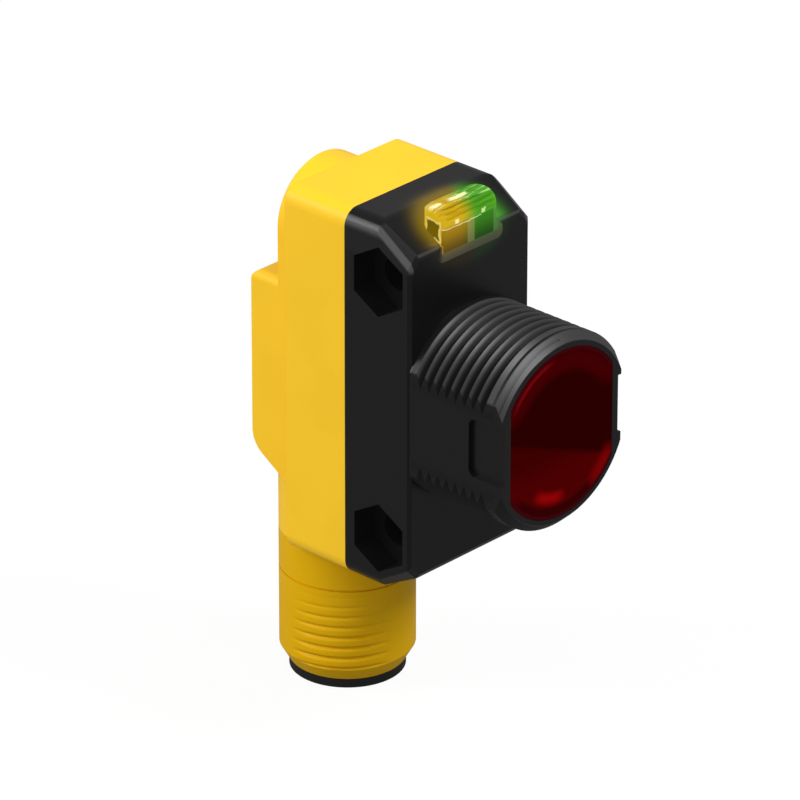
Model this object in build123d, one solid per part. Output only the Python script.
from build123d import *
import math
import os

# Compact photoelectric sensor with a threaded lens nose and a plug connector.
# Frame in mm: +X to the right seen from the front, +Y to the back, +Z up.
# The origin lies on the optical axis, in the plane of the housing's front face.

# Housing envelope
HALF_WIDTH = 7.5
BODY_TOP = 17.4
BODY_BOTTOM = -17.0
PARTING_Y = 7.5
BLOCK_BACK_Y = 14.75
REAR_Y = 20.4
NOSE_TIP_Y = -10.5
WALL = 1.2
EDGE_RADIUS = 1.5
BACK_EDGE_BEVEL = 0.3
FRONT_EDGE_BEVEL = 0.3
SOFT_EDGE_RADIUS = 0.3

# Tapered top and bottom of the front cover
TAPER_BACK_Y = 3.85
TAPER_TOP_Z = 15.1
TAPER_BOTTOM_Z = -15.05
KNEE_RADIUS = 1.5
BEVEL_LEG_FRONT = 1.15
BEVEL_LEG_BACK = 0.85

# Mounting holes across the body, with a nut pocket on the left side
HOLE_SPACING = 24.1
HOLE_Y = 3.6
HOLE_RADIUS = 1.6
NUT_FLATS = 5.6
NUT_POCKET_DEPTH = 2.5
HOLE_BOSS_RADIUS = 2.7
NUT_BOSS_HALF = 3.8
NUT_BOSS_LENGTH = 3.7

# Threaded nose with two flats
NOSE_THREAD_RADIUS = 8.92
NOSE_ROOT_RADIUS = 8.36
NOSE_PITCH = 1.0
NOSE_FIRST_ROOT_Y = -1.23
NOSE_TIP_TAPER = 0.8
NOSE_END_RADIUS = 8.2
RUNOUT_WIDTH = 0.3
RUNOUT_DEPTH = 0.14
RUNOUT_ANGLE = 60.0
RUNOUT_START = -150.0
NOSE_BORE_RADIUS = 7.0
NOSE_BORE_HALF_WIDTH = 5.9
FLAT_RECESS_DEPTH = 0.4
FLAT_RECESS_TOP_Z = 2.9
FLAT_RECESS_BOTTOM_Z = -2.5
FLAT_RECESS_BACK_Y = -6.75
FLAT_RECESS_CORNER = 0.7

# Lens and its seat in the nose
LENS_SEAT_RADIUS = 7.75
LENS_SEAT_HALF_WIDTH = 6.39
LENS_SEAT_Y = -8.5
LENS_CLEARANCE = 0.05
LENS_FACE_Y = -10.5
LENS_BACK_RADIUS = 9.5
LENS_BACK_APERTURE = 5.6
LENS_BACK_DEPTH = 1.8

# Optics tube between the lens and the receiver
TUBE_CLEARANCE = 0.1
TUBE_WALL = 0.8
TUBE_FRONT_Y = -6.6
TUBE_NECK_Y = -0.8
TUBE_BACK_Y = 5.6
TUBE_BACK_RADIUS = 3.6
TUBE_STOP_RADIUS = 2.8

# Light pipe over the tapered top
PIPE_HALF_WIDTH = 3.5
PIPE_BACK_Y = 2.7
PIPE_TOP_Z = 18.1
PIPE_CORNER_RADIUS = 1.2
PIPE_FRONT_TOP_RADIUS = 1.2
PIPE_RIM_BEVEL = 0.3
PIPE_VALLEY_PLACES = (1.5, 2.0)
PIPE_VALLEY_ANGLES = (15, 40, 65)
PIPE_VALLEY_WIDTH = 0.17
PIPE_VALLEY_HALF_LENGTH = 2.9
PIPE_CLEARANCE = 0.03
WINDOW_HALF_WIDTH = 4.0
WINDOW_BOTTOM_Z = 13.6
WINDOW_DEPTH = 0.7
WINDOW_CORNER = 0.6
PIPE_ARM_HALF_WIDTH = 1.2
PIPE_ARM_X = 2.2
PIPE_ARM_BOTTOM_Z = 15.0
PIPE_ARM_TOP_Z = 16.1
PIPE_ARM_BACK_Y = 8.2

# Joint between the two housing halves
TONGUE_LENGTH = 0.9
TONGUE_WALL = 0.55
TONGUE_CLEARANCE = 0.05

# Rear housing: arched spine, hump and connector barrel
SPINE_HALF_WIDTH = 5.5
ARCH_BACK_Y = 17.5
SPINE_WALL = 1.2
HUMP_TOP_Z = 7.2
HUMP_BOTTOM_BACK_Z = -9.3
HUMP_BOTTOM_SLOPE = 32.7
HUMP_EDGE_RADIUS = 0.8
HUMP_LOW_RADIUS = 2.5
BARREL_RADIUS = 6.0

# Plug connector under the housing
CONNECTOR_Y = 14.32
COLLAR_BOTTOM_Z = -20.66
RELIEF_LENGTH = 0.5
RELIEF_RADIUS = 5.6
THREAD_RADIUS = 6.0
THREAD_CHAMFER_LENGTH = 1.4
SHELL_END_Z = -29.76
SHELL_END_RADIUS = 5.18
SHELL_BORE_RADIUS = 4.92
SPIGOT_RADIUS = 5.1
SPIGOT_TOP_Z = -15.2
SPIGOT_CLEARANCE = 0.05
INSERT_RIM_LENGTH = 0.88
INSERT_RIM_RADIUS = 5.14
SOCKET_RADIUS = 4.4
SOCKET_DEPTH = 8.16
KEY_WIDTH = 1.1
KEY_HEIGHT = 0.7
PIN_RADIUS = 0.5
PIN_OFFSET = 2.55
PIN_TIP_INSET = 1.16
PIN_TOP_Z = -12.2
PIN_CLEARANCE = 0.03

# Circuit boards
OPTIC_BOARD_Y = 5.6
OPTIC_BOARD_THICKNESS = 0.8
OPTIC_BOARD_SIDE_GAP = 0.7
OPTIC_BOARD_HALF_HEIGHT = 8.2
MAIN_BOARD_Y = 9.2
MAIN_BOARD_THICKNESS = 1.0
MAIN_BOARD_SIDE_GAP = 0.4
MAIN_BOARD_TOP_Z = 15.8
MAIN_BOARD_BOTTOM_Z = -13.8
PIN_BOARD_THICKNESS = 0.8
PIN_BOARD_Z = -13.6
PIN_BOARD_RADIUS = 4.6
PIN_BOARD_HALF_WIDTH = 4.0
RAIL_REACH = 1.0
RAIL_HEIGHT = 3.0

# Parts on the boards
DIODE_SIZE = 3.0
DIODE_THICKNESS = 1.1
DIODE_WINDOW_RADIUS = 1.1
DIODE_WINDOW_HEIGHT = 0.3
LED_WIDTH = 1.6
LED_HEIGHT = 0.9
LED_THICKNESS = 0.7
LED_Z = 15.3
HEADER_Z = -6.4
HEADER_PITCH = 2.0
HEADER_PIN_HALF = 0.25
HEADER_BODY_WIDTH = 8.4
HEADER_BODY_HEIGHT = 2.0
CONTROLLER_SIZE = 5.0
CONTROLLER_THICKNESS = 0.9
CONTROLLER_Z = 3.0
REGULATOR_WIDTH = 4.6
REGULATOR_HEIGHT = 3.6
REGULATOR_THICKNESS = 1.5
REGULATOR_Z = -3.4
TRANSISTOR_WIDTH = 2.9
TRANSISTOR_HEIGHT = 1.6
TRANSISTOR_THICKNESS = 1.1
TRANSISTOR_Z = -8.4
TRANSISTOR_X = 2.6
CAPACITOR_WIDTH = 3.2
CAPACITOR_HEIGHT = 1.8
CAPACITOR_THICKNESS = 1.6
CAPACITOR_Z = 8.4
RESISTOR_WIDTH = 1.6
RESISTOR_HEIGHT = 0.8
RESISTOR_THICKNESS = 0.5
RESISTOR_Z = 11.6
RESISTOR_PITCH = 2.6

OVERCUT = 0.5

# Sizes that follow from others
OPTIC_BOARD_HALF_WIDTH = HALF_WIDTH - WALL - OPTIC_BOARD_SIDE_GAP
MAIN_BOARD_HALF_WIDTH = HALF_WIDTH - WALL - MAIN_BOARD_SIDE_GAP
THREAD_TOP_Z = COLLAR_BOTTOM_Z - RELIEF_LENGTH
THREAD_CHAMFER_Z = SHELL_END_Z + THREAD_CHAMFER_LENGTH
INSERT_RIM_Z = SHELL_END_Z - INSERT_RIM_LENGTH
SOCKET_FLOOR_Z = SHELL_END_Z + SOCKET_DEPTH
PIN_TIP_Z = SHELL_END_Z + PIN_TIP_INSET


def section_at(y):
    """Plane across the body at a given depth: local x is X, local y is Z."""
    return Plane(origin=(0, y, 0), x_dir=(1, 0, 0), z_dir=(0, -1, 0))


def prism_y(face, front_y, back_y):
    return extrude(section_at(back_y) * face, amount=back_y - front_y)


def prism_z(face, low_z, high_z):
    return extrude(Plane.XY.offset(low_z) * face, amount=high_z - low_z)


def prism_x(face, left_x, right_x):
    """Extrude a side view, drawn with Y across and Z up, from left to right."""
    side = Plane(origin=(left_x, 0, 0), x_dir=(0, 1, 0), z_dir=(1, 0, 0))
    return extrude(side * face, amount=right_x - left_x)


def box_between(x_range, y_range, z_range):
    size = [high - low for low, high in (x_range, y_range, z_range)]
    centre = [(low + high) / 2 for low, high in (x_range, y_range, z_range)]
    return Pos(*centre) * Box(*size)


def outline(inset):
    """Front view of the housing block, drawn inwards by an inset."""
    height = BODY_TOP - BODY_BOTTOM - 2 * inset
    middle = (BODY_TOP + BODY_BOTTOM) / 2
    corner = max(EDGE_RADIUS - inset, 0.3)
    return Pos(0, middle) * RectangleRounded(2 * (HALF_WIDTH - inset), height, corner)


def cover_profile(front_y, back_y, inset):
    """Side view of the front cover with its tapered top and bottom."""
    top = BODY_TOP - inset
    bottom = BODY_BOTTOM + inset
    points = [
        (front_y, TAPER_TOP_Z - inset),
        (TAPER_BACK_Y, top),
        (back_y, top),
        (back_y, bottom),
        (TAPER_BACK_Y, bottom),
        (front_y, TAPER_BOTTOM_Z + inset),
    ]
    face = make_face(Polyline(*points, close=True))
    knees = face.vertices().filter_by(lambda v: abs(v.X - TAPER_BACK_Y) < 0.01)
    return fillet(knees, KNEE_RADIUS)


def slotted_circle(radius, half_width):
    """Circle cut by two upright flats."""
    return Circle(radius) & Rectangle(2 * half_width, 2 * radius + 1)


def bevel_cutter(side, up):
    """Wedge that bevels one side edge of a tapered surface."""
    edge_front = TAPER_TOP_Z if up > 0 else TAPER_BOTTOM_Z
    edge_back = BODY_TOP if up > 0 else BODY_BOTTOM
    a = Vector(side * (HALF_WIDTH - BEVEL_LEG_FRONT), 0, edge_front)
    b = Vector(side * HALF_WIDTH, 0, edge_front - up * BEVEL_LEG_FRONT)
    c = Vector(side * HALF_WIDTH, TAPER_BACK_Y, edge_back - up * BEVEL_LEG_BACK)
    normal = (b - a).cross(c - a).normalized()
    if normal.X * side < 0:
        normal = normal * -1
    face_plane = Plane(origin=a, z_dir=normal)
    wedge = extrude(face_plane * Rectangle(BODY_TOP, BODY_TOP), amount=BEVEL_LEG_FRONT * 2)
    reach = box_between((-BODY_TOP, BODY_TOP), (-1, TAPER_BACK_Y), (-2 * BODY_TOP, 2 * BODY_TOP))
    return wedge & reach


# Front cover

def nose_stub():
    """Round nose with ring-shaped thread grooves, a tapered tip and two flats."""
    taper_y = NOSE_TIP_Y + NOSE_TIP_TAPER
    points = [(0, 0), (NOSE_THREAD_RADIUS, 0)]
    root_y = NOSE_FIRST_ROOT_Y
    while root_y - NOSE_PITCH / 2 > taper_y:
        points.append((NOSE_THREAD_RADIUS, root_y + NOSE_PITCH / 2))
        points.append((NOSE_ROOT_RADIUS, root_y))
        root_y -= NOSE_PITCH
    points += [(NOSE_THREAD_RADIUS, root_y + NOSE_PITCH / 2), (NOSE_THREAD_RADIUS, taper_y),
               (NOSE_END_RADIUS, NOSE_TIP_Y), (0, NOSE_TIP_Y)]
    stub = revolve(make_face(Polyline(*points, close=True)), Axis.Y)
    stub -= thread_runout(taper_y)
    stub &= Box(2 * HALF_WIDTH, 2 * BODY_TOP, 2 * BODY_TOP)
    for side in (-1, 1):
        stub -= flat_recess(side)
    return stub


def thread_runout(taper_y):
    """Last part of the thread groove, running out across the tapered tip."""
    half_width = RUNOUT_WIDTH / 2
    middle_y = (taper_y + NOSE_TIP_Y) / 2
    middle_radius = (NOSE_THREAD_RADIUS + NOSE_END_RADIUS) / 2
    wedge = make_face(Polyline((middle_radius + RUNOUT_DEPTH, middle_y - half_width),
                               (middle_radius + RUNOUT_DEPTH, middle_y + half_width),
                               (middle_radius - RUNOUT_DEPTH, middle_y), close=True))
    groove = revolve(wedge, Axis.Y, RUNOUT_ANGLE)
    return Rot(0, RUNOUT_START, 0) * groove


def flat_recess(side):
    """Shallow open-ended recess in one nose flat."""
    length = FLAT_RECESS_BACK_Y - NOSE_TIP_Y + FLAT_RECESS_CORNER * 2
    height = FLAT_RECESS_TOP_Z - FLAT_RECESS_BOTTOM_Z
    middle = (FLAT_RECESS_TOP_Z + FLAT_RECESS_BOTTOM_Z) / 2
    face = Pos(FLAT_RECESS_BACK_Y - length / 2, middle) * RectangleRounded(
        length, height, FLAT_RECESS_CORNER)
    floor_x = HALF_WIDTH - FLAT_RECESS_DEPTH
    if side > 0:
        return prism_x(face, floor_x, HALF_WIDTH + OVERCUT)
    return prism_x(face, -HALF_WIDTH - OVERCUT, -floor_x)


def cover_body():
    body = prism_y(outline(0), 0, PARTING_Y)
    body &= prism_x(cover_profile(0, PARTING_Y, 0), -HALF_WIDTH, HALF_WIDTH)
    for side in (-1, 1):
        for up in (-1, 1):
            body -= bevel_cutter(side, up)
    front = body.edges().filter_by(lambda e: abs(e.center().Y) < 0.01)
    body = chamfer(front, FRONT_EDGE_BEVEL)
    inner_x = HALF_WIDTH - (BEVEL_LEG_FRONT + BEVEL_LEG_BACK) / 2
    bevels = body.edges().filter_by(GeomType.LINE).filter_by(
        lambda e: FRONT_EDGE_BEVEL < e.center().Y < TAPER_BACK_Y and e.length > BEVEL_LEG_FRONT * 2
        and min(abs(abs(e.center().X) - HALF_WIDTH), abs(abs(e.center().X) - inner_x)) < 0.05)
    return fillet(bevels, SOFT_EDGE_RADIUS)


def cover_cavity():
    cavity = prism_y(outline(WALL), WALL, PARTING_Y + TONGUE_LENGTH + 1)
    side_view = cover_profile(WALL, PARTING_Y + TONGUE_LENGTH + 1, WALL)
    return cavity & prism_x(side_view, -HALF_WIDTH, HALF_WIDTH)


def mounting_bosses():
    """Tubes that carry the cross holes through the hollow cover."""
    bosses = []
    for up in (-1, 1):
        centre = Pos(HOLE_Y, up * HOLE_SPACING / 2)
        tube = prism_x(centre * Circle(HOLE_BOSS_RADIUS), -HALF_WIDTH, HALF_WIDTH)
        nut_wall = prism_x(centre * Rectangle(2 * NUT_BOSS_HALF, 2 * NUT_BOSS_HALF), -HALF_WIDTH,
                           -HALF_WIDTH + NUT_BOSS_LENGTH)
        bosses.append(tube + nut_wall)
    return bosses


def mounting_cuts():
    cuts = []
    for up in (-1, 1):
        centre = Pos(HOLE_Y, up * HOLE_SPACING / 2)
        hole = prism_x(centre * Circle(HOLE_RADIUS), -HALF_WIDTH - 1, HALF_WIDTH + 1)
        hexagon = RegularPolygon(NUT_FLATS / 2, 6, major_radius=False, rotation=30)
        pocket = prism_x(centre * hexagon, -HALF_WIDTH - 1, -HALF_WIDTH + NUT_POCKET_DEPTH)
        cuts.append(hole + pocket)
    return cuts


def front_cover():
    envelope = cover_body()
    shell = envelope - cover_cavity()
    for boss in mounting_bosses():
        shell += boss & envelope
    tongue = prism_y(outline(WALL - TONGUE_WALL), PARTING_Y - 0.4, PARTING_Y + TONGUE_LENGTH)
    tongue -= prism_y(outline(WALL), PARTING_Y - 1, PARTING_Y + TONGUE_LENGTH + 1)
    shell += tongue
    shell += nose_stub()
    bore = slotted_circle(NOSE_BORE_RADIUS, NOSE_BORE_HALF_WIDTH)
    shell -= prism_y(bore, NOSE_TIP_Y - 1, WALL + OVERCUT)
    seat = slotted_circle(LENS_SEAT_RADIUS, LENS_SEAT_HALF_WIDTH)
    shell -= prism_y(seat, NOSE_TIP_Y - 1, LENS_SEAT_Y)
    for cut in mounting_cuts():
        shell -= cut
    for side in (-1, 1):
        for up in (-1, 1):
            shell += board_ledge(side, up)
    shell -= pipe_solid(PIPE_CLEARANCE)
    return shell


def board_ledge(side, up):
    """Small ledge on the cover's side wall that the optic board lies against."""
    inner = OPTIC_BOARD_HALF_WIDTH - RAIL_REACH
    x_range = sorted((side * inner, side * (HALF_WIDTH - WALL + 0.1)))
    z_range = sorted((up * (OPTIC_BOARD_HALF_HEIGHT - RAIL_HEIGHT), up * OPTIC_BOARD_HALF_HEIGHT))
    return box_between(x_range, (WALL - 0.1, OPTIC_BOARD_Y), z_range)


# Light pipe

def pipe_solid(grow):
    """Clear pipe: post above the taper, flush window and two arms to the LEDs."""
    half = PIPE_HALF_WIDTH + grow
    back = PIPE_BACK_Y + grow
    plan = Pos(0, back / 2) * Rectangle(2 * half, back)
    rear = plan.vertices().filter_by(lambda v: v.Y > back / 2)
    plan = fillet(rear, PIPE_CORNER_RADIUS)
    post = prism_z(plan, PIPE_ARM_BOTTOM_Z - grow, PIPE_TOP_Z)
    front_top = post.edges().filter_by(
        lambda e: abs(e.center().Y) < 0.01 and abs(e.center().Z - PIPE_TOP_Z) < 0.01)
    post = fillet(front_top, PIPE_FRONT_TOP_RADIUS)
    window_half = WINDOW_HALF_WIDTH + grow
    window = Pos(0, (TAPER_TOP_Z + WINDOW_BOTTOM_Z) / 2) * RectangleRounded(
        2 * window_half, TAPER_TOP_Z - WINDOW_BOTTOM_Z + 2 * grow, WINDOW_CORNER)
    solid = post + prism_y(window, 0, WINDOW_DEPTH + grow)
    for side in (-1, 1):
        x_range = (side * PIPE_ARM_X - PIPE_ARM_HALF_WIDTH - grow,
                   side * PIPE_ARM_X + PIPE_ARM_HALF_WIDTH + grow)
        solid += box_between(x_range, (PIPE_BACK_Y - 1, PIPE_ARM_BACK_Y),
                             (PIPE_ARM_BOTTOM_Z - grow, PIPE_ARM_TOP_Z + grow))
    return solid


def light_pipe():
    pipe = pipe_solid(0)
    rim = pipe.edges().filter_by(
        lambda e: e.center().Z > PIPE_TOP_Z - 0.6 * PIPE_FRONT_TOP_RADIUS
        and (abs(e.center().X) > PIPE_HALF_WIDTH - PIPE_CORNER_RADIUS
             or e.center().Y > PIPE_BACK_Y - 0.01))
    pipe = chamfer(rim, PIPE_RIM_BEVEL)
    for y, z, angle in valley_places():
        notch = Pos(y, z) * Rot(0, 0, angle + 45) * Rectangle(PIPE_VALLEY_WIDTH, PIPE_VALLEY_WIDTH)
        pipe -= prism_x(notch, -PIPE_VALLEY_HALF_LENGTH, PIPE_VALLEY_HALF_LENGTH)
    return pipe


def valley_places():
    """Places of the ribs' valleys along the top and round its front edge."""
    places = [(y, PIPE_TOP_Z, 0) for y in PIPE_VALLEY_PLACES]
    for angle in PIPE_VALLEY_ANGLES:
        turn = math.radians(angle)
        places.append((PIPE_FRONT_TOP_RADIUS * (1 - math.sin(turn)),
                       PIPE_TOP_Z - PIPE_FRONT_TOP_RADIUS * (1 - math.cos(turn)), angle))
    return places


# Lens and optics

def lens():
    outer = slotted_circle(LENS_SEAT_RADIUS - LENS_CLEARANCE,
                           LENS_SEAT_HALF_WIDTH - LENS_CLEARANCE)
    disc = prism_y(outer, LENS_FACE_Y, LENS_SEAT_Y)
    bulge_centre = LENS_SEAT_Y + LENS_BACK_DEPTH - LENS_BACK_RADIUS
    bulge = Pos(0, bulge_centre, 0) * Sphere(LENS_BACK_RADIUS)
    bulge &= prism_y(Circle(LENS_BACK_APERTURE), LENS_FACE_Y, LENS_SEAT_Y + LENS_BACK_DEPTH)
    return disc + bulge


def optics_tube():
    """Stepped tube from the lens's bore to the receiver."""
    outer_radius = NOSE_BORE_RADIUS - TUBE_CLEARANCE
    outer_half = NOSE_BORE_HALF_WIDTH - TUBE_CLEARANCE
    tube = prism_y(slotted_circle(outer_radius, outer_half), TUBE_FRONT_Y, TUBE_NECK_Y)
    tube += prism_y(Circle(TUBE_BACK_RADIUS), TUBE_NECK_Y - 0.1, TUBE_BACK_Y)
    tube -= prism_y(slotted_circle(outer_radius - TUBE_WALL, outer_half - TUBE_WALL),
                    TUBE_FRONT_Y - 1, TUBE_NECK_Y - TUBE_WALL)
    return tube - prism_y(Circle(TUBE_STOP_RADIUS), TUBE_FRONT_Y, TUBE_BACK_Y + 1)


# Rear housing

def spine_profile(inset, low_z):
    """Front view of the arched spine at the back."""
    half = SPINE_HALF_WIDTH - inset
    spring = BODY_TOP - SPINE_HALF_WIDTH
    upright = Pos(0, (spring + low_z) / 2) * Rectangle(2 * half, spring - low_z)
    return upright + Pos(0, spring) * Circle(half)


def hump_side_view(inset):
    """Side view of the hump, with its underside falling towards the front."""
    slope = math.tan(math.radians(HUMP_BOTTOM_SLOPE))
    back = REAR_Y - inset
    front = BLOCK_BACK_Y - 2 * WALL
    low_back = HUMP_BOTTOM_BACK_Z + inset
    points = [
        (front, HUMP_TOP_Z - inset),
        (back, HUMP_TOP_Z - inset),
        (back, low_back),
        (front, low_back - slope * (back - front)),
    ]
    face = make_face(Polyline(*points, close=True))
    low_corner = face.vertices().filter_by(
        lambda v: abs(v.X - back) < 0.01 and abs(v.Y - low_back) < 0.01)
    return fillet(low_corner, HUMP_LOW_RADIUS - inset)


def hump(inset):
    half = SPINE_HALF_WIDTH - inset
    return prism_x(hump_side_view(inset), -half, half)


def rear_outer():
    block = prism_y(outline(0), PARTING_Y, BLOCK_BACK_Y)
    back = block.edges().filter_by(lambda e: abs(e.center().Y - BLOCK_BACK_Y) < 0.01)
    block = chamfer(back, BACK_EDGE_BEVEL)
    solid_hump = hump(0)
    top_edges = solid_hump.edges().filter_by(
        lambda e: abs(e.center().Z - HUMP_TOP_Z) < 0.01 and e.center().Y > BLOCK_BACK_Y - 2)
    rounded = [e for e in top_edges if abs(e.center().Y - (BLOCK_BACK_Y - 2 * WALL)) > 0.1]
    solid_hump = fillet(rounded, HUMP_EDGE_RADIUS)
    spine = prism_y(spine_profile(0, 0), BLOCK_BACK_Y - 2 * WALL, ARCH_BACK_Y)
    rim = spine.edges().filter_by(
        lambda e: abs(e.center().Y - ARCH_BACK_Y) < 0.01 and e.center().Z > HUMP_TOP_Z)
    spine = chamfer(rim, BACK_EDGE_BEVEL)
    barrel_face = Pos(0, CONNECTOR_Y) * Circle(BARREL_RADIUS)
    barrel = prism_z(barrel_face, BODY_BOTTOM, 0) - prism_x(
        hump_side_view(0), -HALF_WIDTH, HALF_WIDTH)
    return block + spine + solid_hump + barrel


def rear_housing():
    shell = rear_outer()
    shell -= prism_y(outline(WALL), PARTING_Y - 1, BLOCK_BACK_Y - WALL)
    shell -= prism_y(outline(WALL - TONGUE_WALL - TONGUE_CLEARANCE), PARTING_Y - 1,
                     PARTING_Y + TONGUE_LENGTH + TONGUE_CLEARANCE)
    shell -= prism_y(spine_profile(SPINE_WALL, -5), PARTING_Y, ARCH_BACK_Y - SPINE_WALL)
    shell -= hump(SPINE_WALL)
    bore = Pos(0, CONNECTOR_Y) * Circle(BARREL_RADIUS - SPINE_WALL)
    shell -= prism_z(bore, SPIGOT_TOP_Z, 0)
    spigot_bore = Pos(0, CONNECTOR_Y) * Circle(SPIGOT_RADIUS + SPIGOT_CLEARANCE)
    shell -= prism_z(spigot_bore, BODY_BOTTOM - 1, SPIGOT_TOP_Z)
    for side in (-1, 1):
        shell += board_rail(side)
    return shell


def board_rail(side):
    """Upright rail on the housing's side wall that the main board lies against."""
    inner = MAIN_BOARD_HALF_WIDTH - RAIL_REACH
    x_range = sorted((side * inner, side * (HALF_WIDTH - WALL + 0.1)))
    board_back = MAIN_BOARD_Y + MAIN_BOARD_THICKNESS
    return box_between(x_range, (board_back, BLOCK_BACK_Y - WALL + 0.1),
                       (MAIN_BOARD_BOTTOM_Z + 2 * RAIL_HEIGHT, MAIN_BOARD_TOP_Z - RAIL_HEIGHT))


# Plug connector

def connector_shell():
    """Shell turned to the thread's outer size, with a collar and a relief groove above it."""
    points = [(SHELL_BORE_RADIUS, SPIGOT_TOP_Z), (SPIGOT_RADIUS, SPIGOT_TOP_Z),
              (SPIGOT_RADIUS, BODY_BOTTOM), (BARREL_RADIUS, BODY_BOTTOM),
              (BARREL_RADIUS, COLLAR_BOTTOM_Z), (RELIEF_RADIUS, COLLAR_BOTTOM_Z),
              (RELIEF_RADIUS, THREAD_TOP_Z), (THREAD_RADIUS, THREAD_TOP_Z),
              (THREAD_RADIUS, THREAD_CHAMFER_Z), (SHELL_END_RADIUS, SHELL_END_Z),
              (SHELL_BORE_RADIUS, SHELL_END_Z)]
    half_section = Plane.XZ * make_face(Polyline(*points, close=True))
    return Pos(0, CONNECTOR_Y, 0) * revolve(half_section, Axis.Z)


def pin_places():
    return [(x, CONNECTOR_Y + y) for x, y in
            ((-PIN_OFFSET, -PIN_OFFSET), (PIN_OFFSET, -PIN_OFFSET),
             (PIN_OFFSET, PIN_OFFSET), (-PIN_OFFSET, PIN_OFFSET))]


def connector_insert():
    centre = Pos(0, CONNECTOR_Y)
    core_radius = SHELL_BORE_RADIUS - SPIGOT_CLEARANCE
    body = prism_z(centre * Circle(core_radius), SHELL_END_Z, SPIGOT_TOP_Z)
    body += prism_z(centre * Circle(INSERT_RIM_RADIUS), INSERT_RIM_Z, SHELL_END_Z)
    body -= prism_z(centre * Circle(SOCKET_RADIUS), INSERT_RIM_Z - 1, SOCKET_FLOOR_Z)
    key_y = CONNECTOR_Y + SOCKET_RADIUS
    body += box_between((-KEY_WIDTH / 2, KEY_WIDTH / 2), (key_y - KEY_HEIGHT, key_y + 0.2),
                        (INSERT_RIM_Z + 1, SOCKET_FLOOR_Z))
    for x, y in pin_places():
        hole = Pos(x, y) * Circle(PIN_RADIUS + PIN_CLEARANCE)
        body -= prism_z(hole, SOCKET_FLOOR_Z - 1, SPIGOT_TOP_Z + 1)
    return body


def contact_pin(x, y):
    return prism_z(Pos(x, y) * Circle(PIN_RADIUS), PIN_TIP_Z, PIN_TOP_Z)


def pin_board():
    """Level board on which the contact pins are soldered."""
    centre = Pos(0, CONNECTOR_Y)
    face = centre * Circle(PIN_BOARD_RADIUS)
    front_y = MAIN_BOARD_Y + MAIN_BOARD_THICKNESS
    face += Pos(0, (front_y + CONNECTOR_Y) / 2) * Rectangle(
        2 * PIN_BOARD_HALF_WIDTH, CONNECTOR_Y - front_y)
    face &= Pos(0, front_y + PIN_BOARD_RADIUS) * Rectangle(
        2 * PIN_BOARD_RADIUS, 2 * PIN_BOARD_RADIUS)
    for x, y in pin_places():
        face -= Pos(x, y) * Circle(PIN_RADIUS + PIN_CLEARANCE)
    return prism_z(face, PIN_BOARD_Z, PIN_BOARD_Z + PIN_BOARD_THICKNESS)


# Boards and what they carry

def header_places():
    return [HEADER_PITCH * (index - 1.5) for index in range(4)]


def header_holes(y_low, y_high):
    half = HEADER_PIN_HALF + PIN_CLEARANCE
    holes = [box_between((x - half, x + half), (y_low - 1, y_high + 1),
                         (HEADER_Z - half, HEADER_Z + half)) for x in header_places()]
    return holes


def optic_board():
    back = OPTIC_BOARD_Y + OPTIC_BOARD_THICKNESS
    board = box_between((-OPTIC_BOARD_HALF_WIDTH, OPTIC_BOARD_HALF_WIDTH), (OPTIC_BOARD_Y, back),
                        (-OPTIC_BOARD_HALF_HEIGHT, OPTIC_BOARD_HALF_HEIGHT))
    for hole in header_holes(OPTIC_BOARD_Y, back):
        board -= hole
    return board


def main_board():
    back = MAIN_BOARD_Y + MAIN_BOARD_THICKNESS
    board = box_between((-MAIN_BOARD_HALF_WIDTH, MAIN_BOARD_HALF_WIDTH), (MAIN_BOARD_Y, back),
                        (MAIN_BOARD_BOTTOM_Z, MAIN_BOARD_TOP_Z))
    for hole in header_holes(MAIN_BOARD_Y, back):
        board -= hole
    return board


def header_body():
    front = OPTIC_BOARD_Y + OPTIC_BOARD_THICKNESS
    body = box_between((-HEADER_BODY_WIDTH / 2, HEADER_BODY_WIDTH / 2), (front, MAIN_BOARD_Y),
                       (HEADER_Z - HEADER_BODY_HEIGHT / 2, HEADER_Z + HEADER_BODY_HEIGHT / 2))
    for hole in header_holes(front, MAIN_BOARD_Y):
        body -= hole
    return body


def header_pin(x):
    half = HEADER_PIN_HALF
    return box_between((x - half, x + half),
                       (OPTIC_BOARD_Y - 0.4, MAIN_BOARD_Y + MAIN_BOARD_THICKNESS + 0.4),
                       (HEADER_Z - half, HEADER_Z + half))


def chip(x, z, width, height, thickness, front_side=False):
    """Rectangular package lying flat on one side of the main board."""
    if front_side:
        y_range = (MAIN_BOARD_Y - thickness, MAIN_BOARD_Y)
    else:
        board_back = MAIN_BOARD_Y + MAIN_BOARD_THICKNESS
        y_range = (board_back, board_back + thickness)
    return box_between((x - width / 2, x + width / 2), y_range, (z - height / 2, z + height / 2))


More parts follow.
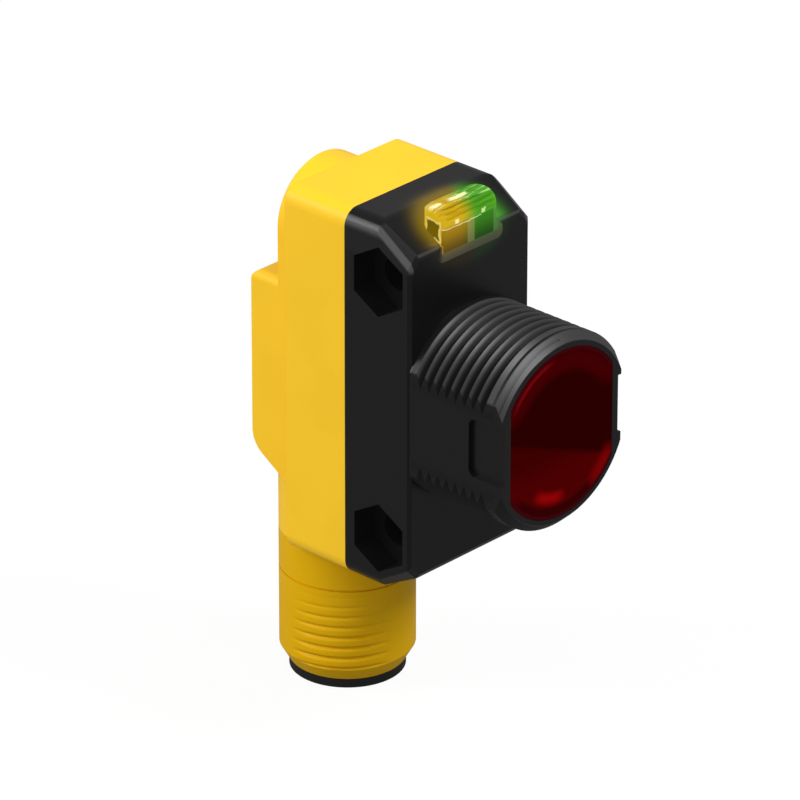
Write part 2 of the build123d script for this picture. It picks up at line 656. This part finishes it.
def receiver_diode():
    base = box_between((-DIODE_SIZE / 2, DIODE_SIZE / 2),
                       (OPTIC_BOARD_Y - DIODE_THICKNESS, OPTIC_BOARD_Y),
                       (-DIODE_SIZE / 2, DIODE_SIZE / 2))
    face_y = OPTIC_BOARD_Y - DIODE_THICKNESS
    return base + prism_y(Circle(DIODE_WINDOW_RADIUS), face_y - DIODE_WINDOW_HEIGHT, face_y)


def build_nodes():
    nodes = {
        "front_cover": front_cover(),
        "rear_housing": rear_housing(),
        "lens": lens(),
        "light_pipe": light_pipe(),
        "optics_tube": optics_tube(),
        "receiver_diode": receiver_diode(),
        "optic_board": optic_board(),
        "main_board": main_board(),
        "header_body": header_body(),
        "pin_board": pin_board(),
        "connector_shell": connector_shell(),
        "connector_insert": connector_insert(),
        "led_amber": chip(-PIPE_ARM_X, LED_Z, LED_WIDTH, LED_HEIGHT, LED_THICKNESS, True),
        "led_green": chip(PIPE_ARM_X, LED_Z, LED_WIDTH, LED_HEIGHT, LED_THICKNESS, True),
        "controller_chip": chip(0, CONTROLLER_Z, CONTROLLER_SIZE, CONTROLLER_SIZE,
                                CONTROLLER_THICKNESS),
        "voltage_regulator": chip(0, REGULATOR_Z, REGULATOR_WIDTH, REGULATOR_HEIGHT,
                                  REGULATOR_THICKNESS),
        "filter_capacitor": chip(0, CAPACITOR_Z, CAPACITOR_WIDTH, CAPACITOR_HEIGHT,
                                 CAPACITOR_THICKNESS),
    }
    for number, (x, y) in enumerate(pin_places(), start=1):
        nodes[f"contact_pin_{number}"] = contact_pin(x, y)
    for number, x in enumerate(header_places(), start=1):
        nodes[f"header_pin_{number}"] = header_pin(x)
    for number, side in enumerate((-1, 1), start=1):
        nodes[f"output_transistor_{number}"] = chip(
            side * TRANSISTOR_X, TRANSISTOR_Z, TRANSISTOR_WIDTH, TRANSISTOR_HEIGHT,
            TRANSISTOR_THICKNESS)
    for number in range(1, 4):
        nodes[f"resistor_{number}"] = chip(
            RESISTOR_PITCH * (number - 2), RESISTOR_Z, RESISTOR_WIDTH, RESISTOR_HEIGHT,
            RESISTOR_THICKNESS)
    return nodes


os.makedirs("parts", exist_ok=True)
for name, shape in build_nodes().items():
    export_step(shape, f"parts/{name}.step")
